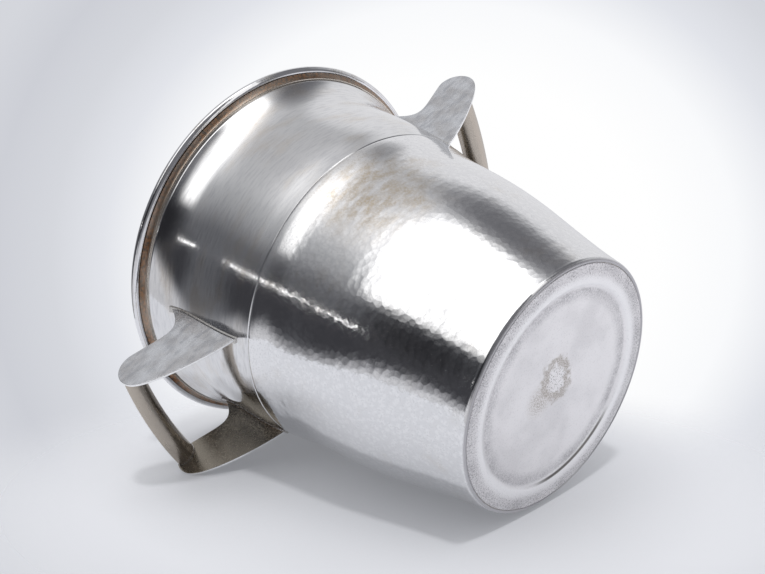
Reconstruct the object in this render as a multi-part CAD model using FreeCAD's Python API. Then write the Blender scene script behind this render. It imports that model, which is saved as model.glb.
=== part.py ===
import FreeCAD, Part
import math
import os

os.makedirs("parts", exist_ok=True)

# A champagne bucket of raised silver sheet. It stands on its foot with Z up through the middle
# of the body, X through the two handles, and its origin at the centre of the foot's underside.
# Lengths are in millimetres and angles in degrees. A share is a fraction of a named length.

# Body
wall = 1.2                       # sheet thickness of belly and neck
foot_radius = 65.0               # where the flat underside ends
foot_rounding = 2.2              # height of the rounded corner above it
foot_spread = 1.3                # how much wider the wall is at the top of that corner
belly_radius = 88.3              # widest place, just under the shoulder
belly_height = 125.0             # foot to the top of the shoulder
shoulder_rounding = 0.5
shoulder_fold = 0.6              # rounding of the inner corner under the shelf
lip_width = 2.0                  # flat shelf inside the shoulder, which carries the neck
belly_shares = [(0.249, 0.296), (0.499, 0.618), (0.748, 0.795), (0.89, 0.88), (0.943, 0.941),
                (0.976, 0.979)]                                  # height, swell

# Base
plate_gap = 0.3                  # hairline round the plate that solder fills from inside
plate_thickness = 1.5
plate_edge_rounding = 0.4
foot_ring_width = 9.0            # flat of the plate outside the pressed step
recess_depth = 1.4               # how far the middle of the plate is pressed in
recess_step_width = 4.4
step_pull_share = 0.45           # how softly the step leaves the flat on either side
seam_depth = 0.5                 # depth of the open hairline below the solder
seam_fillet = 1.0                # solder fillet inside the bucket

# Neck
neck_overhang = 0.2              # how far the neck's foot stands out over the belly
neck_foot_rounding = 0.5
neck_height = 72.0               # from the shoulder to the bottom of the rim
mouth_radius = 99.4              # flared top of the neck
neck_shares = [(0.078, 0.075), (0.126, 0.128), (0.228, 0.206), (0.343, 0.257), (0.483, 0.294),
               (0.65, 0.339), (0.762, 0.431), (0.825, 0.532), (0.909, 0.716)]   # height, swell
shoulder_fillet = 1.0            # solder fillet on the shelf, inside the neck

# Rim
lip_overhang = 0.4               # bright lip under the hollow of the rim moulding
lip_thickness = 0.6
wire_radius = 2.3                # round wire along the edge of the mouth
wire_offset = 3.5                # wire's centre outside the neck's top edge
wire_rise = 5.3                  # wire's centre above the neck's top edge
cove_depth = 0.58                # how deep the hollow of the moulding is
seat_start_angle = -106.0        # from the wire's centre to where its seat starts below it
seat_end_angle = -187.0          # and to where the seat ends, inside the mouth
wire_gap = 0.3                   # thickness of solder between wire and moulding

# Handles
cheek_spacing = 78.0             # over the outer faces of a handle's two cheeks
cheek_thickness = 1.4
cheek_edge_rounding = 0.25
cheek_foot_rise = 8.4            # lower corner above the shoulder
cheek_top_drop = 14.2            # upper corner below the neck's top edge
handle_reach = 29.7              # centre of the cheek's round end, from the neck
tongue_height_share = 0.6275     # how far up the cheek's foot that centre lies
tongue_radius = 11.2
tongue_start_angle = 105.0       # where the rim side edge runs into the round end
tongue_end_angle = -32.8         # where the shoulder side edge leaves it
top_pull_share = 0.421           # fullness of the rim side curve against the cheek's foot
bottom_pull_share = 0.241
top_edge_angle = -69.0           # direction in which each edge leaves the wall
bottom_edge_angle = 10.0

grip_width = 14.4                # across the flat of the half-round bar
grip_depth = 4.4
grip_crown = 0.5                 # slight roundness of the flat side
grip_tilt = 25.0                 # the flat side leans out towards the foot
grip_margin = 1.0                # cheek left outside the bar's two edges
grip_bow = 2.5                   # how far the middle of the bar stands out

solder_size = 0.8                # beads round the feet of the cheeks and the bar's ends

# Measures
quarter_turn = 90.0
full_turn = 360.0
cut_overrun = 5.0                # extra reach of a cutting solid
foot_inner = foot_radius - wall + plate_gap
plate_radius = foot_inner - plate_gap
recess_outer = plate_radius - foot_ring_width
corner_radius = foot_radius + foot_spread
shoulder_start = belly_height - shoulder_rounding
lip_reach = belly_radius - shoulder_rounding
neck_foot_radius = belly_radius + neck_overhang
neck_top = belly_height + neck_height
wire_reach = mouth_radius + wire_offset
wire_height = neck_top + wire_rise
inner_face = cheek_spacing / 2 - cheek_thickness
cheek_bottom = belly_height + cheek_foot_rise
cheek_top = neck_top - cheek_top_drop
cheek_foot = cheek_top - cheek_bottom
tongue_height = cheek_bottom + cheek_foot * tongue_height_share


def at(reach, height):
    return FreeCAD.Vector(reach, 0, height)


def towards(angle, length):
    turn = math.radians(angle)
    return at(math.cos(turn) * length, math.sin(turn) * length)


def line(start, end):
    return Part.LineSegment(start, end).toShape()


def arc(start, middle, end):
    return Part.Arc(start, middle, end).toShape()


def curve(points):
    spline = Part.BSplineCurve()
    spline.interpolate(points)
    return spline.toShape()


def bezier(points):
    shape = Part.BezierCurve()
    shape.setPoles(points)
    return shape.toShape()


def outline(edges):
    return Part.Face(Part.Wire(edges))


def turned(edges):
    """A full turn about the body's axis."""
    return outline(edges).revolve(at(0, 0), FreeCAD.Vector(0, 0, 1), full_turn)


def ring(reach, height, radius):
    return Part.makeTorus(reach, radius, at(0, height))


def block(low, high):
    size = high - low
    return Part.makeBox(size.x, size.y, size.z, low)


def share_points(shares, start, end):
    """Points between two corners of a wall, at shares of its height and of its swell."""
    rise, swell = end.z - start.z, end.x - start.x
    inner = [at(start.x + out * swell, start.z + up * rise) for up, out in shares]
    return [start] + inner + [end]


def rounded_corner(start, end, centre):
    """Quarter-like arc from start to end, bulging away from the centre."""
    middle = (start + end) * 0.5 - centre
    radius = ((start - centre).Length + (end - centre).Length) / 2
    return arc(start, centre + middle * (radius / middle.Length), end)


def belly_wall(inset):
    low = at(corner_radius - inset, foot_rounding)
    return share_points(belly_shares, low, at(belly_radius - inset, shoulder_start))


def neck_wall(inset):
    low = at(neck_foot_radius - inset, belly_height + neck_foot_rounding)
    return share_points(neck_shares, low, at(mouth_radius - inset, neck_top))


def belly_shell():
    outside, inside = belly_wall(0), belly_wall(wall)
    foot, foot_in = at(foot_radius, 0), at(foot_inner, 0)
    seat = at(foot_inner, foot_rounding)
    corner = rounded_corner(foot, outside[0], at(foot_radius - foot_rounding + foot_spread, foot_rounding))
    shelf = at(lip_reach, belly_height)
    shoulder = rounded_corner(outside[-1], shelf, at(lip_reach, shoulder_start))
    shelf_in = at(lip_reach - lip_width, belly_height)
    under = at(shelf_in.x, belly_height - wall)
    inside[-1] = at(belly_radius - wall, under.z - shoulder_fold)
    below = at(inside[-1].x - shoulder_fold, under.z)
    fold = rounded_corner(below, inside[-1], at(below.x, inside[-1].z))
    return turned([line(foot_in, foot), corner, curve(outside), shoulder, line(shelf, shelf_in),
                   line(shelf_in, under), line(under, below), fold, curve(inside[::-1]),
                   line(inside[0], seat), line(seat, foot_in)])


def pressed_step(height):
    """S-shaped step of the base plate, from the foot ring in to the recessed middle."""
    outer = at(recess_outer, height)
    inner = at(recess_outer - recess_step_width, height + recess_depth)
    pull = at(recess_step_width * step_pull_share, 0)
    return [outer, outer - pull, inner + pull, inner]


def base_plate():
    step, top_step = pressed_step(0), pressed_step(plate_thickness)
    middle, top_middle = at(0, recess_depth), at(0, recess_depth + plate_thickness)
    edge_low = at(plate_radius - plate_edge_rounding, 0)
    edge = at(plate_radius, plate_edge_rounding)
    edge_top = at(plate_radius, plate_thickness)
    rounding = rounded_corner(edge_low, edge, at(edge_low.x, edge.z))
    return turned([line(middle, step[3]), bezier(step[::-1]), line(step[0], edge_low), rounding,
                   line(edge, edge_top), line(edge_top, top_step[0]), bezier(top_step),
                   line(top_step[3], top_middle), line(top_middle, middle)])


def base_seam_solder(belly, plate):
    low_in, low_out = at(plate_radius - seam_fillet, seam_depth), at(corner_radius, seam_depth)
    high_out = at(corner_radius, plate_thickness + seam_fillet)
    slope_top = at(foot_inner, high_out.z)
    slope_low = at(low_in.x, plate_thickness)
    band = turned([line(low_in, low_out), line(low_out, high_out), line(high_out, slope_top),
                   line(slope_top, slope_low), line(slope_low, low_in)])
    outside = turned([line(at(0, 0), at(foot_radius, 0)), line(at(foot_radius, 0), belly_wall(0)[0]),
                      curve(belly_wall(0)), line(belly_wall(0)[-1], at(0, shoulder_start)),
                      line(at(0, shoulder_start), at(0, 0))])
    return band.common(outside).cut(belly).cut(plate)


def neck_collar():
    outside, inside = neck_wall(0), neck_wall(wall)
    foot_in = at(inside[0].x, belly_height)
    foot_out = at(neck_foot_radius - neck_foot_rounding, belly_height)
    rounding = rounded_corner(foot_out, outside[0], at(foot_out.x, outside[0].z))
    return turned([line(foot_in, foot_out), rounding, curve(outside), line(outside[-1], inside[-1]),
                   curve(inside[::-1]), line(inside[0], foot_in)])


def neck_core(growth):
    """Everything within the neck's outer face, grown by a margin, to trim what is soldered on."""
    side = neck_wall(-growth)
    low, high = at(0, side[0].z), at(0, neck_top)
    return turned([line(low, side[0]), curve(side), line(side[-1], high), line(high, low)])


def shoulder_seam_solder(neck):
    inner_face_reach = neck_foot_radius - wall
    low_in = at(inner_face_reach - shoulder_fillet, belly_height)
    low_out = at(inner_face_reach + wall / 2, belly_height)
    high = at(low_out.x, belly_height + low_out.x - low_in.x)
    return turned([line(low_in, low_out), line(low_out, high), line(high, low_in)]).cut(neck)


def rim_moulding():
    foot_in, foot_out = at(mouth_radius - wall, neck_top), at(mouth_radius + lip_overhang, neck_top)
    lip = at(foot_out.x, neck_top + lip_thickness)
    seat_radius = wire_radius + wire_gap
    centre = at(wire_reach, wire_height)
    under_wire = centre + towards(seat_start_angle, seat_radius)
    close = centre + towards(seat_end_angle, seat_radius)
    seat_middle = centre + towards((seat_start_angle + seat_end_angle) / 2, seat_radius)
    seat = arc(under_wire, seat_middle, close)
    across = under_wire - lip
    hollow = at(-across.z, across.x) * (cove_depth / across.Length)
    cove = arc(lip, (lip + under_wire) * 0.5 + hollow, under_wire)
    return turned([line(foot_in, foot_out), line(foot_out, lip), cove, seat, line(close, foot_in)])


def neck_radius(height):
    """Outer radius of the neck at a height, on straight lines between its profile points."""
    wall_points = neck_wall(0)
    for low, high in zip(wall_points, wall_points[1:]):
        if low.z <= height <= high.z:
            return low.x + (high.x - low.x) * (height - low.z) / (high.z - low.z)
    return neck_foot_radius


def wall_corner(height):
    """Where a cheek's outer face leaves the neck at a height."""
    return at(math.sqrt(neck_radius(height) ** 2 - (cheek_spacing / 2) ** 2), height)


def tongue_centre():
    """Centre of the cheek's round end."""
    return at(neck_radius(tongue_height) + handle_reach, tongue_height)


def cheek_outline():
    centre = tongue_centre()
    start = centre + towards(tongue_start_angle, tongue_radius)
    end = centre + towards(tongue_end_angle, tongue_radius)
    tip = centre + towards((tongue_start_angle + tongue_end_angle) / 2, tongue_radius)
    top, bottom = wall_corner(cheek_top), wall_corner(cheek_bottom)
    top_pull, bottom_pull = cheek_foot * top_pull_share, cheek_foot * bottom_pull_share
    top_edge = [top, top + towards(top_edge_angle, top_pull),
                start + towards(tongue_start_angle + quarter_turn, top_pull), start]
    bottom_edge = [end, end + towards(tongue_end_angle - quarter_turn, bottom_pull),
                   bottom + towards(bottom_edge_angle, bottom_pull), bottom]
    root = at(-cut_overrun - wall, 0)
    return outline([line(bottom + root, top + root), line(top + root, top), bezier(top_edge),
                    arc(start, tip, end), bezier(bottom_edge), line(bottom, bottom + root)])


def cheek(face, core):
    """One flat side plate; face is 1 for the back one and -1 for the front one."""
    plate = cheek_outline()
    plate.translate(FreeCAD.Vector(0, face * inner_face, 0))
    solid = plate.extrude(FreeCAD.Vector(0, face * cheek_thickness, 0))
    free_edges = [edge for edge in solid.Edges
                  if abs(edge.BoundBox.YLength) < cheek_edge_rounding
                  and edge.BoundBox.XMax > wall_corner(cheek_top).x + wall]
    return solid.makeFillet(cheek_edge_rounding, free_edges).cut(core)


def cheek_solder(face, plate, core):
    """A thin bead all round the cheek's foot."""
    band = neck_core(solder_size).cut(core)
    near, far = face * (inner_face - solder_size), face * (cheek_spacing / 2 + solder_size)
    low = FreeCAD.Vector(0, min(near, far), cheek_bottom - solder_size)
    high = FreeCAD.Vector(mouth_radius, max(near, far), cheek_top + solder_size)
    return band.common(block(low, high)).cut(plate)


def grip_bar(growth):
    """Half-round bar between the cheeks, bowed outwards, grown by a margin all round."""
    normal = towards(quarter_turn - grip_tilt, 1)
    along = at(normal.z, -normal.x)
    offset = math.sqrt((tongue_radius - grip_margin) ** 2 - (grip_width / 2) ** 2)
    middle = tongue_centre() + normal * offset + at(grip_bow, 0)
    half = along * (grip_width / 2 + growth)
    inner, outer = middle - half, middle + half
    round_side = arc(inner, middle - normal * (grip_depth + growth), outer)
    flat_side = arc(outer, middle + normal * (grip_crown + growth), inner)
    bow_radius = (inner_face ** 2 + grip_bow ** 2) / (2 * grip_bow)
    pivot = at(middle.x - bow_radius, 0)
    sweep = math.degrees(math.asin((inner_face + cheek_thickness) / bow_radius))
    upright = FreeCAD.Vector(0, 0, 1)
    section = outline([round_side, flat_side])
    section.rotate(pivot, upright, -sweep)
    return section.revolve(pivot, upright, 2 * sweep)


def span(start, end):
    """A block across the handle between two places along Y."""
    low = FreeCAD.Vector(0, min(start, end), 0)
    return block(low, FreeCAD.Vector(tongue_centre().x * 2, max(start, end), wire_height))


def grip():
    return grip_bar(0).common(span(-inner_face, inner_face))


def grip_solder(bar):
    collar = grip_bar(solder_size / 2).cut(bar)
    ends = [collar.common(span(face * inner_face, face * (inner_face - solder_size))) for face in (-1, 1)]
    return Part.Compound([solid for end in ends for solid in end.Solids])


def handle(name, turn, core):
    """A whole handle, built on the X side and turned into its place."""
    bar = grip()
    pieces = {name + "_grip": bar, name + "_grip_solder": grip_solder(bar)}
    for word, face in (("front", -1), ("back", 1)):
        plate = cheek(face, core)
        pieces[name + "_" + word + "_cheek"] = plate
        pieces[name + "_" + word + "_foot_solder"] = cheek_solder(face, plate, core)
    for piece in pieces.values():
        piece.rotate(at(0, 0), FreeCAD.Vector(0, 0, 1), turn)
    return pieces


def bucket():
    belly, plate, neck = belly_shell(), base_plate(), neck_collar()
    core = neck_core(0)
    pieces = {
        "belly_shell": belly,
        "base_plate": plate,
        "base_seam_solder": base_seam_solder(belly, plate),
        "neck_collar": neck,
        "shoulder_seam_solder": shoulder_seam_solder(neck),
        "rim_moulding": rim_moulding(),
        "rim_wire": ring(wire_reach, wire_height, wire_radius),
    }
    pieces.update(handle("right_handle", 0, core))
    pieces.update(handle("left_handle", 180, core))
    return pieces


for node, shape in bucket().items():
    print(node, "solids", len(shape.Solids), "valid", shape.isValid(), "volume", round(shape.Volume, 1))
    shape.exportStep("parts/" + node + ".step")
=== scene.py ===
# Champagne bucket of silver plate, lying on its side on pale paper

import math

import bpy
from mathutils import Euler, Matrix, Vector


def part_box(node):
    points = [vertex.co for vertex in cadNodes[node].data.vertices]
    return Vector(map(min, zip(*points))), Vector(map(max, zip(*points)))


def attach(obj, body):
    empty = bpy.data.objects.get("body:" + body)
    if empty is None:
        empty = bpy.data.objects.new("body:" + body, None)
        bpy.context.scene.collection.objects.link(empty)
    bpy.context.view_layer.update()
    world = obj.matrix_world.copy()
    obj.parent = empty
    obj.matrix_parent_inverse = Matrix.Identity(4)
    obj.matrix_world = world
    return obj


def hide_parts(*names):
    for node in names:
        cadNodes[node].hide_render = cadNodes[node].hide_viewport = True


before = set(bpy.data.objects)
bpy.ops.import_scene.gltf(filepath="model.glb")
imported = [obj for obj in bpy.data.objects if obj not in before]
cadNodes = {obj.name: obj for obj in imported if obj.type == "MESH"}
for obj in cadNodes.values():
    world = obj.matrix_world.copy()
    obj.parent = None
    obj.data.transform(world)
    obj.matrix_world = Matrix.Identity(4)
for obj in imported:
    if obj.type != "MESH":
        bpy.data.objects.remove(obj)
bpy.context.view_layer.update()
mm = 0.001
seamOffset = 0.05 * mm       # beside the seams of the CAD meshes, which lie at Y = 0
farAway = 300 * mm
weldDistance = 0.005 * mm

print("champagne bucket: frame loaded,", len(cadNodes), "pieces")


# Helpers for materials

softly = {"interpolation_type": "SMOOTHSTEP"}      # for a range that starts and ends gently


def linearColour(hexValue):
    # sRGB hex text to the linear colour that the shaders work in
    parts = [int(hexValue[i:i + 2], 16) / 255 for i in (0, 2, 4)]
    return [c / 12.92 if c < 0.04045 else ((c + 0.055) / 1.055) ** 2.4 for c in parts] + [1.0]


def addNode(tree, kind, inputs=(), **settings):
    # inputs fill the sockets that the node shows, in their order or by name. Each is a number, a vector,
    # a hex colour, an output to link, or a node whose first output is linked
    node = tree.nodes.new("ShaderNode" + kind)
    for name, value in settings.items():
        setattr(node, name, value)
    if isinstance(inputs, dict):
        pairs = [(node.inputs[name], value) for name, value in inputs.items()]
    else:
        pairs = zip([socket for socket in node.inputs if socket.enabled], inputs)
    for socket, value in pairs:
        if isinstance(value, bpy.types.Node):
            value = next(output for output in value.outputs if output.enabled)
        if isinstance(value, bpy.types.NodeSocket):
            tree.links.new(value, socket)
        else:
            socket.default_value = linearColour(value) if isinstance(value, str) else value
    return node


def setRamp(node, stops):
    # stops are (place, hex colour) pairs, from left to right
    ramp = node.color_ramp
    while len(ramp.elements) < len(stops):
        ramp.elements.new(0.5)
    for element, (place, colour) in zip(ramp.elements, stops):
        element.position = place
        element.color = linearColour(colour)
    return node


def startMaterial(name):
    material = bpy.data.materials.new(name)
    material.use_nodes = True
    material.node_tree.nodes.clear()
    return material, material.node_tree


def closeMetal(tree, colour, rough, normal):
    shader = addNode(tree, "BsdfPrincipled", {"Base Color": colour, "Metallic": 1.0, "Roughness": rough,
                                              "Normal": normal})
    addNode(tree, "OutputMaterial", [shader])


def objectPlace(tree):
    return addNode(tree, "TexCoord").outputs["Object"]


def roundPlace(tree, reach):
    # the surface unrolled at a distance from the axis: the way round the body, nothing, and the height
    parts = addNode(tree, "SeparateXYZ", [objectPlace(tree)]).outputs
    angle = addNode(tree, "Math", [parts["Y"], parts["X"]], operation="ARCTAN2")
    around = addNode(tree, "Math", [angle, reach], operation="MULTIPLY")
    return addNode(tree, "CombineXYZ", {"X": around, "Z": parts["Z"]})


def heightOf(tree):
    return addNode(tree, "SeparateXYZ", [objectPlace(tree)]).outputs["Z"]


def mottling(tree, place, size, detail=2.0, stretch=(1, 1, 1)):
    # soft noise with features of about the size, made longer along each axis by the stretch
    scale = [1 / (size * s) for s in stretch]
    spot = addNode(tree, "Mapping", {"Vector": place, "Scale": scale})
    return addNode(tree, "TexNoise", {"Vector": spot, "Scale": 1.0, "Detail": detail})


def together(tree, mask, *others):
    # full only where all of these masks are
    for other in others:
        mask = addNode(tree, "Math", [mask, other], operation="MULTIPLY")
    return mask


def ringMask(tree, reach, start, full, until, end):
    # a ring that starts softly, is full between two distances, and ends softly
    inner = addNode(tree, "MapRange", [reach, start, full], **softly)
    outer = addNode(tree, "MapRange", [reach, end, until], **softly)
    return together(tree, inner, outer)


def layered(tree, colour, *layers):
    # colours laid over each other: each layer is a mask and the colour that it shows
    for mask, cover in layers:
        colour = addNode(tree, "Mix", [mask, colour, cover], data_type="RGBA")
    return colour


def relief(tree, *layers):
    # bumps laid over each other, the broadest first: each layer is a pattern and its depth
    inputs = {}
    for pattern, depth in layers:
        inputs.update({"Height": pattern, "Distance": depth})
        inputs["Normal"] = addNode(tree, "Bump", inputs)
    return inputs["Normal"]


def edgeHighlightMask(tree, radius):
    # 1 on crisp edges, 0 on flats, for painted edge highlights
    soft = addNode(tree, "Bevel", [radius], samples=6)
    flat = addNode(tree, "NewGeometry").outputs["Normal"]
    turn = addNode(tree, "VectorMath", [soft, flat], operation="DOT_PRODUCT")
    return addNode(tree, "MapRange", [turn, 0.995, 0.90], **softly)     # cosines of the turn


def crevice(tree, distance, low, high):
    # 1 in corners where two pieces meet, 0 in the open
    shade = addNode(tree, "AmbientOcclusion", {"Distance": distance}, samples=6)
    return addNode(tree, "MapRange", [shade.outputs["AO"], high, low], **softly)


# Helpers for pieces

def selectNothing():
    if bpy.context.object and bpy.context.object.mode != "OBJECT":
        bpy.ops.object.mode_set(mode="OBJECT")
    bpy.ops.object.select_all(action="DESELECT")


def selectOnly(piece):
    selectNothing()
    piece.select_set(True)
    bpy.context.view_layer.objects.active = piece


def applyModifier(piece, kind, **settings):
    selectOnly(piece)
    bpy.ops.object.modifier_add(type=kind)
    modifier = piece.modifiers[-1]
    for name, value in settings.items():
        setattr(modifier, name, value)
    bpy.ops.object.modifier_apply(modifier=modifier.name)


def wallReach(node, height, inside=False):
    # distance from the axis to a CAD node's outer or inner wall at a height
    start = Vector((0 if inside else farAway, seamOffset, height))
    return cadNodes[node].ray_cast(start, Vector((1 if inside else -1, 0, 0)))[1].x


def faceHeight(node, reach, above=False):
    # height of a CAD node's lower or upper face at a distance from the axis
    start = Vector((reach, seamOffset, farAway if above else -farAway))
    return cadNodes[node].ray_cast(start, Vector((0, 0, -1 if above else 1)))[1].z


def spread(start, end, count):
    # evenly spaced numbers from start to end, with both
    return [start + (end - start) * i / count for i in range(count + 1)]


def turnProfile(name, points, steps):
    # draws a closed profile of (reach, height) points and spins it round the body's axis
    selectNothing()
    bpy.ops.mesh.primitive_plane_add(size=mm)
    piece = bpy.context.object
    piece.name = name
    bpy.ops.object.mode_set(mode="EDIT")
    bpy.ops.mesh.select_all(action="SELECT")
    bpy.ops.mesh.merge(type="CENTER")
    bpy.ops.transform.translate(value=(points[0][0], 0, points[0][1]))
    for here, there in zip(points, points[1:] + points[:1]):
        step = (there[0] - here[0], 0, there[1] - here[1])
        bpy.ops.mesh.extrude_region_move(TRANSFORM_OT_translate={"value": step})
    bpy.ops.mesh.select_all(action="SELECT")
    bpy.ops.mesh.remove_doubles(threshold=weldDistance)
    bpy.ops.mesh.spin(steps=steps, angle=2 * math.pi, center=(0, 0, 0), axis=(0, 0, 1))
    bpy.ops.mesh.select_all(action="SELECT")
    bpy.ops.mesh.remove_doubles(threshold=weldDistance)
    bpy.ops.mesh.normals_make_consistent(inside=False)
    bpy.ops.object.mode_set(mode="OBJECT")
    bpy.ops.object.shade_smooth()
    return piece


def dress(piece, material):
    piece.data.materials.clear()
    piece.data.materials.append(material)


def finishPiece(piece, material, slot, *nodes):
    selectOnly(piece)
    dress(piece, material)
    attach(piece, "root")
    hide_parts(*nodes)
    print(piece.name, "done,", len(piece.data.polygons), "faces")


# The floor that the bucket lies on: it rests on its rim wire, its belly and one cheek of a handle

floorValues = {
    "turn": (76.03, 42.17, -160.75),     # degrees, so that x is right, y is away and z is up
    "distance": 67.35 * mm,              # from the middle of the foot
    "near": -0.16, "far": 0.30,
    "left": -0.36, "right": 0.24,
    # part of the paper's brightness is a plain glow, which keeps its shadow pale away from the bucket;
    # close to the bucket that glow is darkened into painted shade
    "paper": "b4b5b9", "liftColour": "f2f4f9", "lift": 0.41,
    "shade": 0.45,                       # share of the lift that is left close to the bucket, as painted shade
    "shadeReach": 90 * mm, "openSky": (0.15, 0.95),
    # beyond this oval the camera sees the plain backdrop in place of the paper
    "shadowMiddle": (-0.075, 0.03, 0), "shadowSize": (0.235, 0.15, 1.0), "shadowTurn": -12,
    "shadowFade": (0.62, 1.15),
}
floorAngles = [math.radians(a) for a in floorValues["turn"]]
floorTurn = Euler(floorAngles).to_matrix()
floorPlace = Matrix.Translation(floorTurn @ Vector((0, 0, -floorValues["distance"]))) @ floorTurn.to_4x4()


def makePaper():
    v = floorValues
    material, tree = startMaterial("palePaper")
    rays = addNode(tree, "LightPath").outputs
    # painted shade: the glow is darkened where the bucket hides the open sky
    openSky = addNode(tree, "AmbientOcclusion", {"Distance": v["shadeReach"]}, samples=8).outputs["AO"]
    lift = addNode(tree, "MapRange", [openSky, *v["openSky"], v["lift"] * v["shade"], v["lift"]])
    shown = addNode(tree, "Math", [rays["Is Camera Ray"], rays["Is Glossy Ray"]], operation="MAXIMUM")
    plain = addNode(tree, "Emission", [v["liftColour"], together(tree, shown, lift)])
    paper = addNode(tree, "BsdfDiffuse", [v["paper"]])
    lit = addNode(tree, "AddShader", [paper, plain])
    spot = addNode(tree, "Mapping", {"Vector": objectPlace(tree), "Location": v["shadowMiddle"],
                                     "Rotation": (0, 0, math.radians(v["shadowTurn"])),
                                     "Scale": v["shadowSize"]}, vector_type="TEXTURE")
    away = addNode(tree, "VectorMath", [spot], operation="LENGTH")
    fade = addNode(tree, "MapRange", [away, *v["shadowFade"]], **softly)
    underside = addNode(tree, "NewGeometry").outputs["Backfacing"]
    hidden = addNode(tree, "Math", [fade, underside], operation="MAXIMUM")
    clear = addNode(tree, "BsdfTransparent")
    either = addNode(tree, "MixShader", [together(tree, hidden, rays["Is Camera Ray"]), lit, clear])
    addNode(tree, "OutputMaterial", [either])
    return material


def makeFloor():
    v = floorValues
    selectNothing()
    bpy.ops.mesh.primitive_grid_add(x_subdivisions=8, y_subdivisions=8, size=1)
    floor = bpy.context.object
    floor.name = "floor"
    stretch = Matrix.Diagonal((v["right"] - v["left"], v["far"] - v["near"], 1, 1))
    middle = Matrix.Translation(((v["right"] + v["left"]) / 2, (v["far"] + v["near"]) / 2, 0))
    floor.data.transform(middle @ stretch)
    floor.matrix_world = floorPlace
    dress(floor, makePaper())


# Camera

cameraValues = {
    "place": (0.22828, 0.43019, -0.27308),
    "turn": (150.351, 43.313, -158.108),
    "lens": 54.77, "sensor": 36,
}


def addCamera():
    v = cameraValues
    selectNothing()
    turn = [math.radians(a) for a in v["turn"]]
    bpy.ops.object.camera_add(location=v["place"], rotation=turn)
    camera = bpy.context.object
    camera.name = "photoCamera"
    camera.data.lens = v["lens"]
    camera.data.sensor_width = v["sensor"]
    camera.data.sensor_fit = "HORIZONTAL"
    camera.data.clip_start = 0.01
    camera.data.dof.use_dof = False
    bpy.context.scene.camera = camera


# Light: a studio painted into the world, all of it given by direction over the floor

lightValues = {
    # side is the angle to the right of the view, height the angle over the floor, in degrees.
    # Half and edge are the half width and height of a lamp and of its soft border, at a distance of 1
    "softBox": {"side": -124, "height": 66, "half": (0.03, 0.62), "edge": (0.24, 0.24), "glow": 1.25},
    "bounce": {"side": -98, "height": 83, "half": (0.0, 0.30), "edge": (0.38, 0.60), "glow": 0.42},
    "slit": {"side": -105, "height": 10, "half": (0.17, 0.006), "edge": (0.04, 0.006), "glow": 2.4},
    "overhead": {"side": 160, "height": 78, "half": (0.12, 0.09), "edge": (0.16, 0.16), "glow": 0.9},
    "tallBox": {"side": 122, "height": 38, "half": (0.10, 0.80), "edge": (0.10, 0.25), "glow": 0.9},
    "lampColour": "fffefc",
    # the studio's brightness from straight below to straight above
    "studio": [(0.0, "cdcdd0"), (0.32, "d2d2d5"), (0.50, "e1e1e5"), (0.65, "d2d2d4"), (0.80, "bdbec0"),
               (0.93, "c4c4c6"), (1.0, "e4e4e6")],
    # round patches of the room, each with the angles where it is full and where it ends
    "floorGlow": {"side": 80, "height": -42, "full": 25, "end": 62, "colour": "f6f6fb"},
    "backRoom": {"side": 150, "height": 15, "full": 62, "end": 78, "colour": "76767a"},
    "frontGlow": {"side": 10, "height": 22, "full": 12, "end": 32, "colour": "e9e9eb"},
    "frontCorner": {"side": 50, "height": 55, "full": 6, "end": 28, "colour": "6e6e72"},
    "leftRoom": {"side": -113, "height": 0, "full": 58, "end": 80, "colour": "68696d"},
    "leftCorner": {"side": -141, "height": 12, "full": 8, "end": 34, "colour": "2a2a2d"},
    "leftFoot": {"side": -108, "height": -4, "full": 3, "end": 24, "colour": "3e3e42"},
    # the rooms behind and on the left start above the floor, and the left one ends below the lamps.
    # These are sines of heights. The left room's foot rises towards the photographer
    "roomStart": (-0.32, -0.11), "leftEnd": (0.76, 0.33),
    "leftTilt": 0.40, "leftLift": 0.118,
    # what the camera sees behind the bucket: paper with a painted pool of light, brightest a little right
    # of the middle
    "backdrop": {"side": 3.4, "height": -16.1, "size": (0.316, 0.278)},
    "backdropRamp": [(0.15, "ffffff"), (0.30, "f9fafc"), (0.45, "e2e4ea"), (0.60, "d5d7dd"),
                     (0.80, "cdcfd6"), (1.0, "d4d6dc")],
}


def aimed(side, height):
    # the direction at these angles, with x right, y away and z up
    turn, rise = math.radians(side), math.radians(height)
    return Vector((math.sin(turn) * math.cos(rise), math.cos(turn) * math.cos(rise), math.sin(rise)))


def flatPlace(tree, direction, side, height):
    # how far a direction lies across and above the one at these angles, and how far it points that way
    ahead = aimed(side, height)
    across = Vector((0, 0, 1)).cross(ahead).normalized()
    towards, right, up = [addNode(tree, "VectorMath", [direction, axis], operation="DOT_PRODUCT")
                          for axis in (ahead, across, ahead.cross(across))]
    return [addNode(tree, "Math", [part, towards], operation="DIVIDE") for part in (right, up)] + [towards]


def lampPatch(tree, direction, side, height, half, edge, glow):
    # a rectangle of light with soft edges, in front only
    right, up, towards = flatPlace(tree, direction, side, height)
    level = addNode(tree, "MapRange", [towards, 0.0, 0.1, 0.0, glow], **softly)
    for place, reach, soft in zip((right, up), half, edge):
        away = addNode(tree, "Math", [place], operation="ABSOLUTE")
        inside = addNode(tree, "MapRange", [away, reach, reach + soft, 1.0, 0.0], **softly)
        level = together(tree, level, inside)
    return level


def roomPatch(tree, direction, patch):
    # 1 inside a round patch of the room, 0 beyond its end
    towards = flatPlace(tree, direction, patch["side"], patch["height"])[2]
    edges = [math.cos(math.radians(patch[name])) for name in ("end", "full")]
    return addNode(tree, "MapRange", [towards, *edges], **softly)


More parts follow.
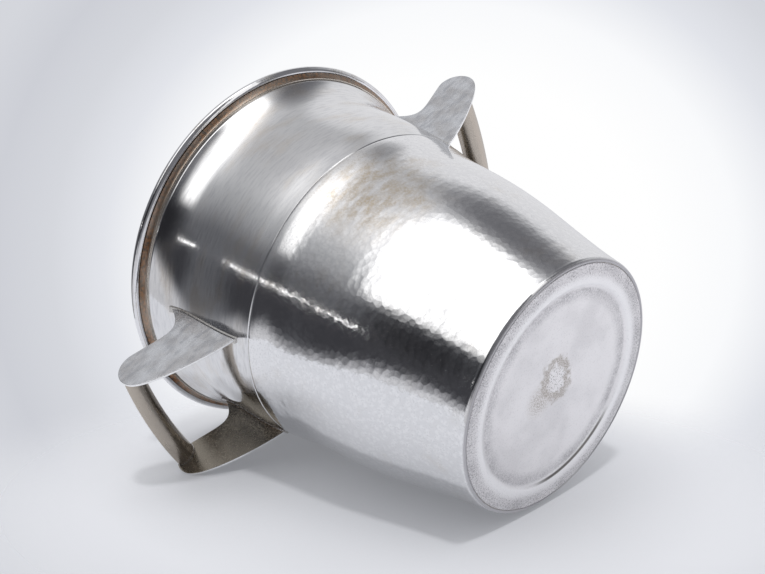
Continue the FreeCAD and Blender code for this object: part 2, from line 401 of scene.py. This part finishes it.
def paintStudio(tree, direction):
    # the plain studio by height, with the patches of the room over it
    v = lightValues
    parts = addNode(tree, "SeparateXYZ", [direction]).outputs
    rise = parts["Z"]
    upwards = addNode(tree, "MapRange", [rise, -1.0, 1.0])
    studio = setRamp(addNode(tree, "ValToRGB", [upwards]), v["studio"])
    overFloor = addNode(tree, "MapRange", [rise, *v["roomStart"]], **softly)
    tilted = together(tree, parts["Y"], v["leftTilt"])
    tilted = addNode(tree, "Math", [tilted, v["leftLift"]], operation="ADD")
    leftRise = addNode(tree, "Math", [rise, tilted], operation="ADD")
    leftLimit = together(tree, addNode(tree, "MapRange", [leftRise, *v["roomStart"]], **softly),
                         addNode(tree, "MapRange", [rise, *v["leftEnd"]], **softly))
    patches = [("floorGlow", 1.0), ("backRoom", overFloor), ("frontGlow", 1.0), ("frontCorner", 1.0),
               ("leftRoom", leftLimit), ("leftCorner", leftLimit), ("leftFoot", leftLimit)]
    for name, limit in patches:
        inside = together(tree, roomPatch(tree, direction, v[name]), limit)
        studio = layered(tree, studio, (inside, v[name]["colour"]))
    return studio


def paintBackdrop(tree, direction):
    # a painted pool of light on the backdrop paper, white in its middle and greyer towards the edges
    v = lightValues["backdrop"]
    right, up, towards = flatPlace(tree, direction, v["side"], v["height"])
    squares = []
    for place, size in zip((right, up), v["size"]):
        share = addNode(tree, "Math", [addNode(tree, "Math", [place], operation="ABSOLUTE"), size],
                        operation="DIVIDE")
        squares.append(addNode(tree, "Math", [share, 2.0], operation="POWER"))
    away = together(tree, addNode(tree, "Math", squares, operation="ADD"), 0.5)
    return setRamp(addNode(tree, "ValToRGB", [away]), lightValues["backdropRamp"])


def makeWorld():
    v = lightValues
    world = bpy.data.worlds.new("studio")
    bpy.context.scene.world = world
    world.use_nodes = True
    tree = world.node_tree
    tree.nodes.clear()
    place = addNode(tree, "TexCoord").outputs["Generated"]
    direction = addNode(tree, "Mapping", {"Vector": place, "Rotation": floorAngles}, vector_type="TEXTURE")
    glow = 0.0
    for name in ("softBox", "bounce", "slit", "overhead", "tallBox"):
        glow = addNode(tree, "Math", [glow, lampPatch(tree, direction, **v[name])], operation="ADD")
    room = addNode(tree, "Background", [paintStudio(tree, direction), 1.0])
    lamps = addNode(tree, "Background", [v["lampColour"], glow])
    lit = addNode(tree, "AddShader", [room, lamps])
    plain = addNode(tree, "Background", [paintBackdrop(tree, direction), 1.0])
    seen = addNode(tree, "LightPath").outputs["Is Camera Ray"]
    addNode(tree, "OutputWorld", [addNode(tree, "MixShader", [seen, lit, plain])])


# One lamp beside the painted studio: it stands high over the photographer and casts the crisp edge
# of the shadow

keyLampValues = {"side": 170, "height": 69.5, "distance": 900 * mm, "strength": 1.05, "size": 5}


def addKeyLamp():
    v = keyLampValues
    selectNothing()
    back = aimed(v["side"], v["height"])
    aim = (floorTurn @ back).to_track_quat("Z", "Y").to_euler()
    bpy.ops.object.light_add(type="SUN", location=floorPlace @ (back * v["distance"]), rotation=aim)
    lamp = bpy.context.object
    lamp.name = "keyLamp"
    lamp.data.energy = v["strength"]
    lamp.data.angle = math.radians(v["size"])
    lamp.visible_glossy = False


addCamera()
makeWorld()
addKeyLamp()
makeFloor()
print("camera, light and floor are up")


# Finishes. All of the metal is silver plate, so each finish is bare metal and differs in how it was
# worked. A pattern is given by its size, its detail and how much longer it is along each axis, a
# range by where it starts and ends, and by what it turns these into where that isn't 0 and 1

# Hammered silver: planished facets that break up the reflections, fine polishing scratches, and
# faint warm tarnish

hammeredValues = {
    "bright": "efeff0", "tarnish": "c2b39c", "mottleAndFacetShade": "c6c7cb", "footGrey": "c4c3c6",
    "facetSize": 2.7 * mm, "facetDepth": 0.034 * mm, "facetRounding": 0.25,
    "facetFade": (124 * mm, 104 * mm, 0.12, 1.0),         # heights: they fade out towards the shoulder
    "unrolledAt": 80 * mm,
    "uneven": (7 * mm, 1.0), "unevenDepth": 0.045 * mm,
    "clouds": (26 * mm, 4.0),
    "speckle": (1.0 * mm, 4.0), "speckleDepth": 0.004 * mm,
    "flecks": (5 * mm, 9.0, (2, 1, 1)),
    # real scratches are finer, and these are as coarse as the picture needs to show them
    "scratches": (0.30 * mm, 2.0, (16, 1, 1)), "scratchDepth": 0.005 * mm,
    # tarnish is thickest on one side below the shoulder
    "tarnishMiddle": (-4 * mm, 84 * mm, 98 * mm), "tarnishReach": (40 * mm, 12 * mm), "tarnishShare": 0.8,
    "cloudStain": (0.50, 0.80, 0.0, 0.35), "fleckStain": (0.34, 0.66, 0.1, 1.0),
    "speckleStain": (0.30, 0.60, 0.5, 1.0),
    "facetRidgeShade": (0.25, 0.65), "pebbleShare": 0.22, "speckleMottle": (0.48, 0.66, 0.0, 0.35),
    "edgeZone": (0.9 * mm, 0.2 * mm),                       # heights of the foot's rubbed underside
    "speckleRoughness": (0.35, 0.70, 0.06, 0.13), "cloudRoughness": (0.4, 0.7, 0.0, 0.03),
    "tarnishRoughness": 0.06, "rubbedRoughness": 0.42,
}


def makeHammeredSilver():
    v = hammeredValues
    material, tree = startMaterial("hammeredSilver")
    place, around, height = objectPlace(tree), roundPlace(tree, v["unrolledAt"]), heightOf(tree)
    uneven, clouds, speckle = [mottling(tree, place, *v[name]) for name in ("uneven", "clouds", "speckle")]
    scratches, flecks = [mottling(tree, around, *v[name]) for name in ("scratches", "flecks")]
    facets = addNode(tree, "TexVoronoi", {"Vector": place, "Scale": 1 / v["facetSize"],
                                          "Smoothness": v["facetRounding"]}, feature="SMOOTH_F1")
    fade = addNode(tree, "MapRange", [height, *v["facetFade"]], **softly)
    marks = together(tree, addNode(tree, "Math", [facets, 2.0], operation="POWER"), fade)
    # tarnish in clouds, broken up by flecks and specks
    away = addNode(tree, "VectorMath", [place, v["tarnishMiddle"]], operation="DISTANCE")
    near = addNode(tree, "MapRange", [away, *v["tarnishReach"]], **softly)
    thin = addNode(tree, "MapRange", [clouds, *v["cloudStain"]], **softly)
    thick = addNode(tree, "Math", [thin, together(tree, near, v["tarnishShare"])], operation="ADD")
    stain = together(tree, thick, addNode(tree, "MapRange", [flecks, *v["fleckStain"]], **softly),
                     addNode(tree, "MapRange", [speckle, *v["speckleStain"]], **softly))
    # painted shading on the ridges between the facets, and a grey mottle in specks
    facetRidgeShade = addNode(tree, "MapRange", [facets, *v["facetRidgeShade"]], **softly)
    facetRidgeShade = together(tree, facetRidgeShade, fade, v["pebbleShare"])
    specks = addNode(tree, "MapRange", [speckle, *v["speckleMottle"]], **softly)
    mottleAndFacetShade = addNode(tree, "Math", [facetRidgeShade, specks], operation="MAXIMUM")
    edgeZone = addNode(tree, "MapRange", [height, *v["edgeZone"]], **softly)
    colour = layered(tree, v["bright"], (mottleAndFacetShade, v["mottleAndFacetShade"]), (stain, v["tarnish"]),
                     (edgeZone, v["footGrey"]))
    grainy = addNode(tree, "MapRange", [speckle, *v["speckleRoughness"]], **softly)
    cloudy = addNode(tree, "MapRange", [clouds, *v["cloudRoughness"]], **softly)
    rough = addNode(tree, "Math", [grainy, cloudy], operation="ADD")
    rough = addNode(tree, "Math", [rough, together(tree, near, v["tarnishRoughness"])], operation="ADD")
    dulled = together(tree, edgeZone, v["rubbedRoughness"])
    rough = addNode(tree, "Math", [rough, dulled], operation="MAXIMUM")
    normal = relief(tree, (uneven, v["unevenDepth"]), (marks, v["facetDepth"]),
                    (scratches, v["scratchDepth"]), (speckle, v["speckleDepth"]))
    closeMetal(tree, colour, rough, normal)
    return material


# Satin silver of the neck: spun and finely scratched round the body, which draws the reflections
# out, with soft handling marks

satinValues = {
    "bright": "e6e6e7", "tarnish": "d0c4b4", "cloud": "c6c7cb",
    "unrolledAt": 92 * mm,
    "uneven": (24 * mm, 1.0), "unevenDepth": 0.03 * mm,
    "speckle": (0.9 * mm, 3.0), "clouds": (13 * mm, 5.0, (2.5, 1, 1)),
    # polishing runs round the body, crossed by a few finer strokes, all as coarse as the picture needs
    "streaks": (1.3 * mm, 6.0, (6, 1, 1)), "streakDepth": 0.009 * mm,
    "scratches": (0.30 * mm, 3.0, (30, 1, 1)), "scratchDepth": 0.006 * mm,
    "strokes": (0.35 * mm, 2.0, (1, 1, 14)), "strokeDepth": 0.0018 * mm,
    "streakCloud": (0.42, 0.70, 0.0, 0.45),
    "cloudStain": (0.48, 0.72), "speckleStain": (0.20, 0.80, 0.5, 1.0), "stainShare": 0.6,
    "streakRoughness": (0.35, 0.70, 0.06, 0.13), "cloudRoughness": (0.40, 0.65, 0.0, 0.07),
}


def makeSatinSilver():
    v = satinValues
    material, tree = startMaterial("satinSilver")
    place, around = objectPlace(tree), roundPlace(tree, v["unrolledAt"])
    uneven, speckle = [mottling(tree, place, *v[name]) for name in ("uneven", "speckle")]
    clouds, streaks, scratches, strokes = [mottling(tree, around, *v[name])
                                           for name in ("clouds", "streaks", "scratches", "strokes")]
    stain = together(tree, addNode(tree, "MapRange", [clouds, *v["cloudStain"]], **softly),
                     addNode(tree, "MapRange", [speckle, *v["speckleStain"]], **softly), v["stainShare"])
    streaky = addNode(tree, "MapRange", [streaks, *v["streakCloud"]], **softly)
    colour = layered(tree, v["bright"], (streaky, v["cloud"]), (stain, v["tarnish"]))
    brushed = addNode(tree, "MapRange", [streaks, *v["streakRoughness"]], **softly)
    cloudy = addNode(tree, "MapRange", [clouds, *v["cloudRoughness"]], **softly)
    rough = addNode(tree, "Math", [brushed, cloudy], operation="ADD")
    normal = relief(tree, (uneven, v["unevenDepth"]), (streaks, v["streakDepth"]),
                    (scratches, v["scratchDepth"]), (strokes, v["strokeDepth"]))
    closeMetal(tree, colour, rough, normal)
    return material


# Dull silver of the base: dusty, with a painted highlight on the step's crest and painted shade in its
# hollow, and a worn oval near the middle

baseValues = {
    "dust": "f8f6f7", "crestHighlight": "fdfcfd", "grey": "b4b2b5", "speck": "949293", "stain": "aaa096",
    "dark": "5a554f",
    "speckle": (0.8 * mm, 5.0), "speckleDepth": 0.012 * mm,
    "clouds": (12 * mm, 4.0), "cloudDepth": 0.10 * mm,
    "drift": (30 * mm, 6.0), "ragged": (3.2 * mm, 5.0), "fine": (0.7 * mm, 5.0),
    # rings of the base, each by where it starts, is full on both sides, and ends
    "hollowShadeRing": (43 * mm, 49.5 * mm, 50.5 * mm, 52 * mm),
    "crestHighlightRing": (51.5 * mm, 53.5 * mm, 56 * mm, 59 * mm),
    "outerRing": (54.5 * mm, 61 * mm, 70 * mm, 75 * mm),
    # concentric swirls left by spinning
    "swirlSize": 0.45 * mm, "swirlWander": 2.5 * mm, "swirlDepth": 0.003 * mm, "swirlRoughness": 0.02,
    "greyDrift": (0.42, 0.66, 0.0, 0.22),
    "dirtClouds": (0.38, 0.66, 0.55, 1.0), "dirtGrain": (0.34, 0.56, 0.3, 0.8),
    "specks": (0.55, 0.66), "outerSpecks": (0.0, 1.0, 0.12, 0.7),
    # painted shade: a dark line low in the step, on one side
    "stepShadeRing": (51.8 * mm, 52.6 * mm, 53.0 * mm, 53.7 * mm),
    "arcSide": -88, "arcHalf": 36, "arcShare": 0.85,
    # the worn oval: its rings are shares of its size
    "patchMiddle": (-0.8 * mm, 5.5 * mm, 0), "patchSize": (10.5 * mm, 13.5 * mm, 1.0), "patchTurn": 8,
    "patchWander": (0.2, 0.8, -0.25, 0.25), "patchRing": (0.46, 0.72, 0.82, 1.15),
    "patchGrain": (0.36, 0.62, 0.25, 0.9),
    "crumbPlace": (0.70, 0.45), "crumbGrain": (0.56, 0.64), "crumbShare": 0.8,
    "smearMiddle": (12 * mm, 3.5 * mm, 0), "smearReach": (12 * mm, 2.4 * mm),
    "smearGrain": (0.42, 0.62, 0.1, 0.75),
    "roughness": (0.3, 0.7, 0.32, 0.46),
}


def makeBaseSilver():
    v = baseValues
    material, tree = startMaterial("baseSilver")
    place = objectPlace(tree)
    flat = addNode(tree, "VectorMath", [place, (1, 1, 0)], operation="MULTIPLY")
    reach = addNode(tree, "VectorMath", [flat], operation="LENGTH")
    speckle, clouds, drift, ragged, fine = [mottling(tree, place, *v[name]) for name in
                                            ("speckle", "clouds", "drift", "ragged", "fine")]
    hollow, crestHighlight, outer, stepShadeBand = [ringMask(tree, reach, *v[name]) for name in
                                 ("hollowShadeRing", "crestHighlightRing", "outerRing", "stepShadeRing")]
    wander = together(tree, clouds, v["swirlWander"])
    swirlPlace = addNode(tree, "Math", [reach, wander], operation="ADD")
    swirl = addNode(tree, "Math", [together(tree, swirlPlace, 1 / v["swirlSize"])], operation="SINE")
    # painted shade in the hollow of the step, and dirt outside the foot ring, both in clouds and specks
    greyed = addNode(tree, "MapRange", [drift, *v["greyDrift"]], **softly)
    dirtAndHollowShade = together(tree, addNode(tree, "Math", [hollow, outer], operation="MAXIMUM"),
                    addNode(tree, "MapRange", [clouds, *v["dirtClouds"]], **softly),
                    addNode(tree, "MapRange", [speckle, *v["dirtGrain"]], **softly))
    specks = together(tree, addNode(tree, "MapRange", [speckle, *v["specks"]], **softly),
                      addNode(tree, "MapRange", [outer, *v["outerSpecks"]], **softly))
    side = math.radians(v["arcSide"])
    unit = addNode(tree, "VectorMath", [flat], operation="NORMALIZE")
    towards = (math.cos(side), math.sin(side), 0)
    turned = addNode(tree, "VectorMath", [unit, towards], operation="DOT_PRODUCT")
    ends = [math.cos(math.radians(angle)) for angle in (v["arcHalf"], v["arcHalf"] / 2)]
    stepShadeLine = together(tree, stepShadeBand, addNode(tree, "MapRange", [turned, *ends], **softly), v["arcShare"])
    # a thin ragged ring of stain, with dark crumbs in it and a smear beside it
    spot = addNode(tree, "Mapping", {"Vector": flat, "Location": v["patchMiddle"],
                                     "Rotation": (0, 0, math.radians(v["patchTurn"])),
                                     "Scale": v["patchSize"]}, vector_type="TEXTURE")
    away = addNode(tree, "VectorMath", [spot], operation="LENGTH")
    shift = addNode(tree, "MapRange", [ragged, *v["patchWander"]], **softly)
    away = addNode(tree, "Math", [away, shift], operation="ADD")
    patch = together(tree, ringMask(tree, away, *v["patchRing"]),
                     addNode(tree, "MapRange", [fine, *v["patchGrain"]], **softly))
    crumbs = together(tree, addNode(tree, "MapRange", [away, *v["crumbPlace"]], **softly),
                      addNode(tree, "MapRange", [fine, *v["crumbGrain"]], **softly), v["crumbShare"])
    fromSmear = addNode(tree, "VectorMath", [flat, v["smearMiddle"]], operation="DISTANCE")
    smear = together(tree, addNode(tree, "MapRange", [fromSmear, *v["smearReach"]], **softly),
                     addNode(tree, "MapRange", [fine, *v["smearGrain"]], **softly))
    stain = addNode(tree, "Math", [patch, smear], operation="MAXIMUM")
    # painted highlight: the step's crest is coloured paler
    colour = layered(tree, v["dust"], (greyed, v["grey"]), (crestHighlight, v["crestHighlight"]), (dirtAndHollowShade, v["grey"]),
                     (specks, v["speck"]), (stepShadeLine, v["dark"]), (stain, v["stain"]), (crumbs, v["dark"]))
    grainy = addNode(tree, "MapRange", [speckle, *v["roughness"]], **softly)
    rough = addNode(tree, "Math", [grainy, together(tree, swirl, v["swirlRoughness"])], operation="ADD")
    normal = relief(tree, (clouds, v["cloudDepth"]), (swirl, v["swirlDepth"]), (speckle, v["speckleDepth"]))
    closeMetal(tree, colour, rough, normal)
    return material


# Polished silver of the rim wire: the brightest of the bucket, with small knocks and dull spots

rimValues = {
    "bright": "ececee", "dull": "c9c5bf",
    "clouds": (14 * mm, 4.0), "speckle": (0.8 * mm, 3.0), "knocks": (5 * mm, 2.0), "knockDepth": 0.08 * mm,
    "dullClouds": (0.45, 0.70), "dullGrain": (0.35, 0.65), "roughness": (0.0, 1.0, 0.09, 0.24),
}


def makeRimSilver():
    v = rimValues
    material, tree = startMaterial("rimSilver")
    place = objectPlace(tree)
    clouds, speckle, knocks = [mottling(tree, place, *v[name]) for name in ("clouds", "speckle", "knocks")]
    dull = together(tree, addNode(tree, "MapRange", [clouds, *v["dullClouds"]], **softly),
                    addNode(tree, "MapRange", [speckle, *v["dullGrain"]], **softly))
    rough = addNode(tree, "MapRange", [dull, *v["roughness"]], **softly)
    colour = layered(tree, v["bright"], (dull, v["dull"]))
    closeMetal(tree, colour, rough, relief(tree, (knocks, v["knockDepth"])))
    return material


# Moulding under the rim: brown tarnish in the hollow, where no cloth reaches, rubbed bright on its lip

coveValues = {
    "bright": "e9e2d8", "brown": "95602a", "dark": "402a12",
    "unrolledAt": 100 * mm,
    "brownFrom": (0.3 * mm, 1.2 * mm),       # over the moulding's foot: still pale, and all brown
    "paleShare": 0.12,
    "clouds": (7 * mm, 4.0, (3, 1, 1)), "grime": (0.9 * mm, 4.0, (2, 1, 1)), "grimeDepth": 0.02 * mm,
    "darkGrime": (0.35, 0.65), "corners": (2.5 * mm, 0.35, 0.75), "tarnish": (0.40, 0.85, 0.6, 1.0),
    "roughness": (0.0, 1.0, 0.24, 0.48),
}


def makeCoveSilver():
    v = coveValues
    material, tree = startMaterial("coveSilver")
    around = roundPlace(tree, v["unrolledAt"])
    clouds, grime = [mottling(tree, around, *v[name]) for name in ("clouds", "grime")]
    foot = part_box("rim_moulding")[0].z
    pale, full = [foot + height for height in v["brownFrom"]]
    hollow = addNode(tree, "MapRange", [heightOf(tree), pale, full, v["paleShare"], 1.0], **softly)
    uneven = addNode(tree, "Math", [clouds, crevice(tree, *v["corners"])], operation="ADD")
    tarnish = together(tree, hollow, addNode(tree, "MapRange", [uneven, *v["tarnish"]], **softly))
    darkened = addNode(tree, "MapRange", [grime, *v["darkGrime"]], **softly)
    brown = layered(tree, v["brown"], (darkened, v["dark"]))
    rough = addNode(tree, "MapRange", [tarnish, *v["roughness"]], **softly)
    colour = layered(tree, v["bright"], (tarnish, brown))
    closeMetal(tree, colour, rough, relief(tree, (grime, v["grimeDepth"])))
    return material


# Handle silver: brushed along the plates, which softens their shine, grey with age, with painted
# highlights on the edges

handleValues = {
    "grey": "eaecf0", "old": "d3d2d3", "bright": "ffffff", "brown": "85715e", "warm": "bfb6ab",
    "inside": "a19a8e", "streak": "aeb1b8",
    "clouds": (9 * mm, 5.0), "cloudDepth": 0.05 * mm,
    "along": (0.9 * mm, 3.0, (1, 12, 1)), "alongDepth": 0.002 * mm,
    "brushed": (0.35 * mm, 3.0, (1, 1, 30)), "brushedDepth": 0.0015 * mm,
    "pulled": (1.2 * mm, 6.0, (5, 1, 1.6)),
    "oldClouds": (0.35, 0.70), "oldStreaks": (0.50, 0.75, 0.0, 0.35),
    "pulledStreaks": (0.42, 0.72, 0.0, 0.5),
    "gripStart": (0.05 * mm, 0.25 * mm),     # inwards from the cheeks' inner faces
    "insideFaces": (-0.01, -0.03), "narrowFaces": (0.8, 0.4),
    "corners": (4 * mm, 0.25, 0.70), "grimeClouds": (0.3, 0.7, 0.55, 1.0),
    "edgeRadius": 0.5 * mm, "highlightShare": 0.9,
    "roughness": (0.3, 0.7, 0.20, 0.28), "highlitEdgeSmoother": 0.06,
}


def makeHandleSilver():
    v = handleValues
    material, tree = startMaterial("handleSilver")
    place = objectPlace(tree)
    clouds, along, brushed, pulled = [mottling(tree, place, *v[name]) for name in
                                      ("clouds", "along", "brushed", "pulled")]
    aged = addNode(tree, "MapRange", [clouds, *v["oldClouds"]], **softly)
    agedAlong = addNode(tree, "MapRange", [along, *v["oldStreaks"]], **softly)
    streaky = addNode(tree, "MapRange", [pulled, *v["pulledStreaks"]], **softly)
    # warmer on the grips, between the cheeks, where the hand rubs
    side = addNode(tree, "SeparateXYZ", [place]).outputs["Y"]
    inner = min(abs(corner.y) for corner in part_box("right_handle_back_cheek"))
    middle = addNode(tree, "Math", [side], operation="ABSOLUTE")
    grip = addNode(tree, "MapRange", [middle, *[inner - gap for gap in v["gripStart"]]], **softly)
    # browner on the cheeks' inner faces, which are hard to reach with a cloth
    normal = addNode(tree, "NewGeometry").outputs["Normal"]
    facing = addNode(tree, "SeparateXYZ", [normal]).outputs["Y"]
    inside = addNode(tree, "MapRange", [together(tree, facing, side), *v["insideFaces"]], **softly)
    grime = together(tree, crevice(tree, *v["corners"]),
                     addNode(tree, "MapRange", [clouds, *v["grimeClouds"]], **softly))
    # painted highlights: the edges and the narrow faces round the cheeks are coloured bright
    sideways = addNode(tree, "Math", [facing], operation="ABSOLUTE")
    narrowFaceHighlight = addNode(tree, "MapRange", [sideways, *v["narrowFaces"]], **softly)
    narrowFaceHighlight = addNode(tree, "Math", [narrowFaceHighlight, grip], operation="SUBTRACT")
    edgeZone = addNode(tree, "Math", [edgeHighlightMask(tree, v["edgeRadius"]), narrowFaceHighlight], operation="MAXIMUM")
    colour = layered(tree, v["grey"], (aged, v["old"]), (agedAlong, v["old"]), (streaky, v["streak"]),
                     (grip, v["warm"]), (inside, v["inside"]), (grime, v["brown"]),
                     (together(tree, edgeZone, v["highlightShare"]), v["bright"]))
    grainy = addNode(tree, "MapRange", [along, *v["roughness"]], **softly)
    smoother = together(tree, edgeZone, v["highlitEdgeSmoother"])
    rough = addNode(tree, "Math", [grainy, smoother], operation="SUBTRACT")
    bumps = relief(tree, (clouds, v["cloudDepth"]), (along, v["alongDepth"]), (brushed, v["brushedDepth"]))
    closeMetal(tree, colour, rough, bumps)
    return material


# Solder: cleaned off smooth and grey, with brown left in the corners

solderValues = {
    "grey": "cfcdca", "grime": "7a6550",
    "blobs": (1.6 * mm, 4.0), "blobDepth": 0.05 * mm,
    "corners": (1.5 * mm, 0.25, 0.60), "grimeBlobs": (0.40, 0.60, 0.4, 1.0),
    "roughness": (0.35, 0.65, 0.20, 0.32),
}


def makeSolderSilver():
    v = solderValues
    material, tree = startMaterial("solderSilver")
    blobs = mottling(tree, objectPlace(tree), *v["blobs"])
    grime = together(tree, crevice(tree, *v["corners"]),
                     addNode(tree, "MapRange", [blobs, *v["grimeBlobs"]], **softly))
    rough = addNode(tree, "MapRange", [blobs, *v["roughness"]], **softly)
    colour = layered(tree, v["grey"], (grime, v["grime"]))
    closeMetal(tree, colour, rough, relief(tree, (blobs, v["blobDepth"])))
    return material


hammeredSilver = makeHammeredSilver()
satinSilver = makeSatinSilver()
baseSilver = makeBaseSilver()
rimSilver = makeRimSilver()
coveSilver = makeCoveSilver()
handleSilver = makeHandleSilver()
solderSilver = makeSolderSilver()
print("finishes are ready")


# Belly, raised and planished with a hammer

curlSteps = [0.0, 0.02, 0.08, 0.18, 0.32, 0.5, 0.75, 1.0]    # shares of a rounded corner's height

bellyValues = {
    "rowHeight": 0.95 * mm, "turnSteps": 520, "insideRows": 14,
    "shoulderRounding": 0.52 * mm, "shoulderIn": 0.06 * mm,
    "footRounding": 2.25 * mm, "footIn": 0.3 * mm,
    "shelfProbe": 0.3 * mm,                              # below the top, where the shelf's edge is read
    "innerTurn": (0.6 * mm, 0.65 * mm),                  # inwards and down from the shelf's underside
    "wallProbe": 60 * mm,                                # the height where the wall's thickness is read
    "wallSteps": 123, "wallTop": 2 * mm,
    "markSize": 3.3 * mm, "markDepth": 0.032 * mm,
    "marksFrom": 2.5 * mm, "marksOver": 5 * mm,          # above the foot
    "smoothTop": 5 * mm, "fadeHeight": 22 * mm,          # below the shoulder
}


def makeBelly():
    v = bellyValues
    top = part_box("belly_shell")[1].z
    wall = wallReach("belly_shell", v["wallProbe"]) - wallReach("belly_shell", v["wallProbe"], True)
    shoulder, foot = v["shoulderRounding"], v["footRounding"]
    rows = int((top - shoulder - foot) / v["rowHeight"])
    heights = [foot * share for share in curlSteps[1:-1]] + spread(foot, top - shoulder, rows)
    heights += [top - shoulder * share for share in curlSteps[-2:0:-1]]
    points = [(wallReach("belly_shell", height), height) for height in heights]
    # over the shoulder's shelf, down the inside, and back under the foot
    shelf = wallReach("belly_shell", top - v["shelfProbe"], True)
    points += [(points[-1][0] - v["shoulderIn"], top), (shelf, top), (shelf, top - wall)]
    turnIn, turnDown = v["innerTurn"]
    inside = spread(top - wall - turnDown, foot, v["insideRows"])
    points += [(wallReach("belly_shell", inside[0], True) - turnIn, top - wall)]
    points += [(wallReach("belly_shell", height, True), height) for height in inside]
    seat = wallReach("belly_shell", foot * 0.5, True)
    points += [(seat, foot), (seat, 0), (points[0][0] - v["footIn"], 0)]
    belly = turnProfile("hammered_belly", points, v["turnSteps"])
    # hammer marks: shallow dimples that meet in soft ridges, fading out on the foot and the shoulder
    group = belly.vertex_groups.new(name="hammered")
    middle = [wallReach("belly_shell", max(height, foot)) - wall / 2       # at each millimetre of height
              for height in spread(0, top - v["wallTop"], v["wallSteps"])]
    for vertex in belly.data.vertices:
        height = vertex.co.z
        outside = math.hypot(vertex.co.x, vertex.co.y) > middle[min(int(height / mm), len(middle) - 1)]
        rise = min(1, max(0, (height - v["marksFrom"]) / v["marksOver"]))
        drop = min(1, max(0, (top - v["smoothTop"] - height) / v["fadeHeight"]))
        group.add([vertex.index], rise * drop if outside else 0, "REPLACE")
    texture = bpy.data.textures.new("hammerMarks", "VORONOI")
    texture.noise_scale = v["markSize"]
    texture.distance_metric = "DISTANCE_SQUARED"
    applyModifier(belly, "DISPLACE", texture=texture, texture_coords="LOCAL", strength=v["markDepth"],
                  mid_level=1.0, vertex_group="hammered")
    finishPiece(belly, hammeredSilver, "hammered_silver", "belly_shell")


# Neck, spun smooth

neckValues = {
    "rowHeight": 1.5 * mm, "turnSteps": 360, "insideRows": 30,
    "footRounding": 0.5 * mm, "footIn": 0.04 * mm,
    "edgeGap": 0.02 * mm,            # from the top and bottom edges to the first rows
}


def makeNeck():
    v = neckValues
    low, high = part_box("neck_collar")
    start, end = low.z + v["footRounding"], high.z - v["edgeGap"]
    heights = [low.z + v["footRounding"] * share for share in curlSteps[1:-1]]
    heights += spread(start, end, int((high.z - start) / v["rowHeight"]))
    points = [(wallReach("neck_collar", height), height) for height in heights]
    points += [(wallReach("neck_collar", height, True), height)
               for height in spread(end, low.z + v["edgeGap"], v["insideRows"])]
    points[-1] = (points[-1][0], low.z)
    points.append((points[0][0] - v["footIn"], low.z))
    neck = turnProfile("smooth_neck", points, v["turnSteps"])
    finishPiece(neck, satinSilver, "satin_silver", "neck_collar")


# Base plate, with its pressed step

plateValues = {
    "turnSteps": 288, "middleRows": 10, "stepRows": 20, "ringRows": 6,
    "edgeRows": (0.25 * mm, 0.1 * mm), "edgeIn": 0.5 * mm,       # in from the rounded edge
    "edgeHeight": 0.4 * mm,
    "recessAt": 0.3,                                             # share of the way out
    "searchSteps": 300, "searchIn": 2 * mm, "flatWithin": 0.01 * mm,
}


def makeBasePlate():
    v = plateValues
    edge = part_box("base_plate")[1].x
    recess = faceHeight("base_plate", v["recessAt"] * edge)
    # where the step begins and ends, found along the underside
    raised = [reach for reach in spread(0, edge - v["searchIn"], v["searchSteps"])
              if faceHeight("base_plate", reach) > v["flatWithin"]]
    level = [reach for reach in raised if faceHeight("base_plate", reach) > recess - v["flatWithin"]]
    stepIn, stepOut = level[-1], raised[-1]
    reaches = spread(0, stepIn, v["middleRows"]) + spread(stepIn, stepOut, v["stepRows"])[1:]
    reaches += spread(stepOut, edge - v["edgeIn"], v["ringRows"])[1:]
    reaches += [edge - row for row in v["edgeRows"]]
    under = [(reach, faceHeight("base_plate", reach)) for reach in reaches]
    over = [(reach, faceHeight("base_plate", reach, True)) for reach in reaches[::-1]]
    side = [(edge, v["edgeHeight"]), (edge, over[0][1])]
    plate = turnProfile("base_disc", under + side + over, v["turnSteps"])
    finishPiece(plate, baseSilver, "base_silver", "base_plate")


# Rim wire, with slight knocks

wireValues = {"turnSteps": 288, "roundSteps": 28, "knockSize": 22 * mm, "knockDepth": 0.10 * mm}


def makeRimWire():
    v = wireValues
    low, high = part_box("rim_wire")
    thick = (high.z - low.z) / 2
    selectNothing()
    bpy.ops.mesh.primitive_torus_add(major_segments=v["turnSteps"], minor_segments=v["roundSteps"],
                                     major_radius=high.x - thick, minor_radius=thick)
    wire = bpy.context.object
    wire.name = "wired_edge"
    wire.data.transform(Matrix.Translation((0, 0, (low.z + high.z) / 2)))
    wire.location = (0, 0, 0)
    texture = bpy.data.textures.new("wireKnocks", "CLOUDS")
    texture.noise_scale = v["knockSize"]
    applyModifier(wire, "DISPLACE", texture=texture, texture_coords="LOCAL", strength=v["knockDepth"],
                  mid_level=1.0)
    selectOnly(wire)
    bpy.ops.object.shade_smooth()
    finishPiece(wire, rimSilver, "rim_silver", "rim_wire")


makeBelly()
makeNeck()
makeBasePlate()
makeRimWire()

# The moulding, the handles and the solder keep their CAD shapes
for name, node in cadNodes.items():
    if "solder" in name:
        dress(node, solderSilver)
    elif "handle" in name:
        dress(node, handleSilver)
    elif name == "rim_moulding":
        dress(node, coveSilver)
print("handles, moulding and solder are dressed")

bpy.context.scene.view_settings.view_transform = "Standard"
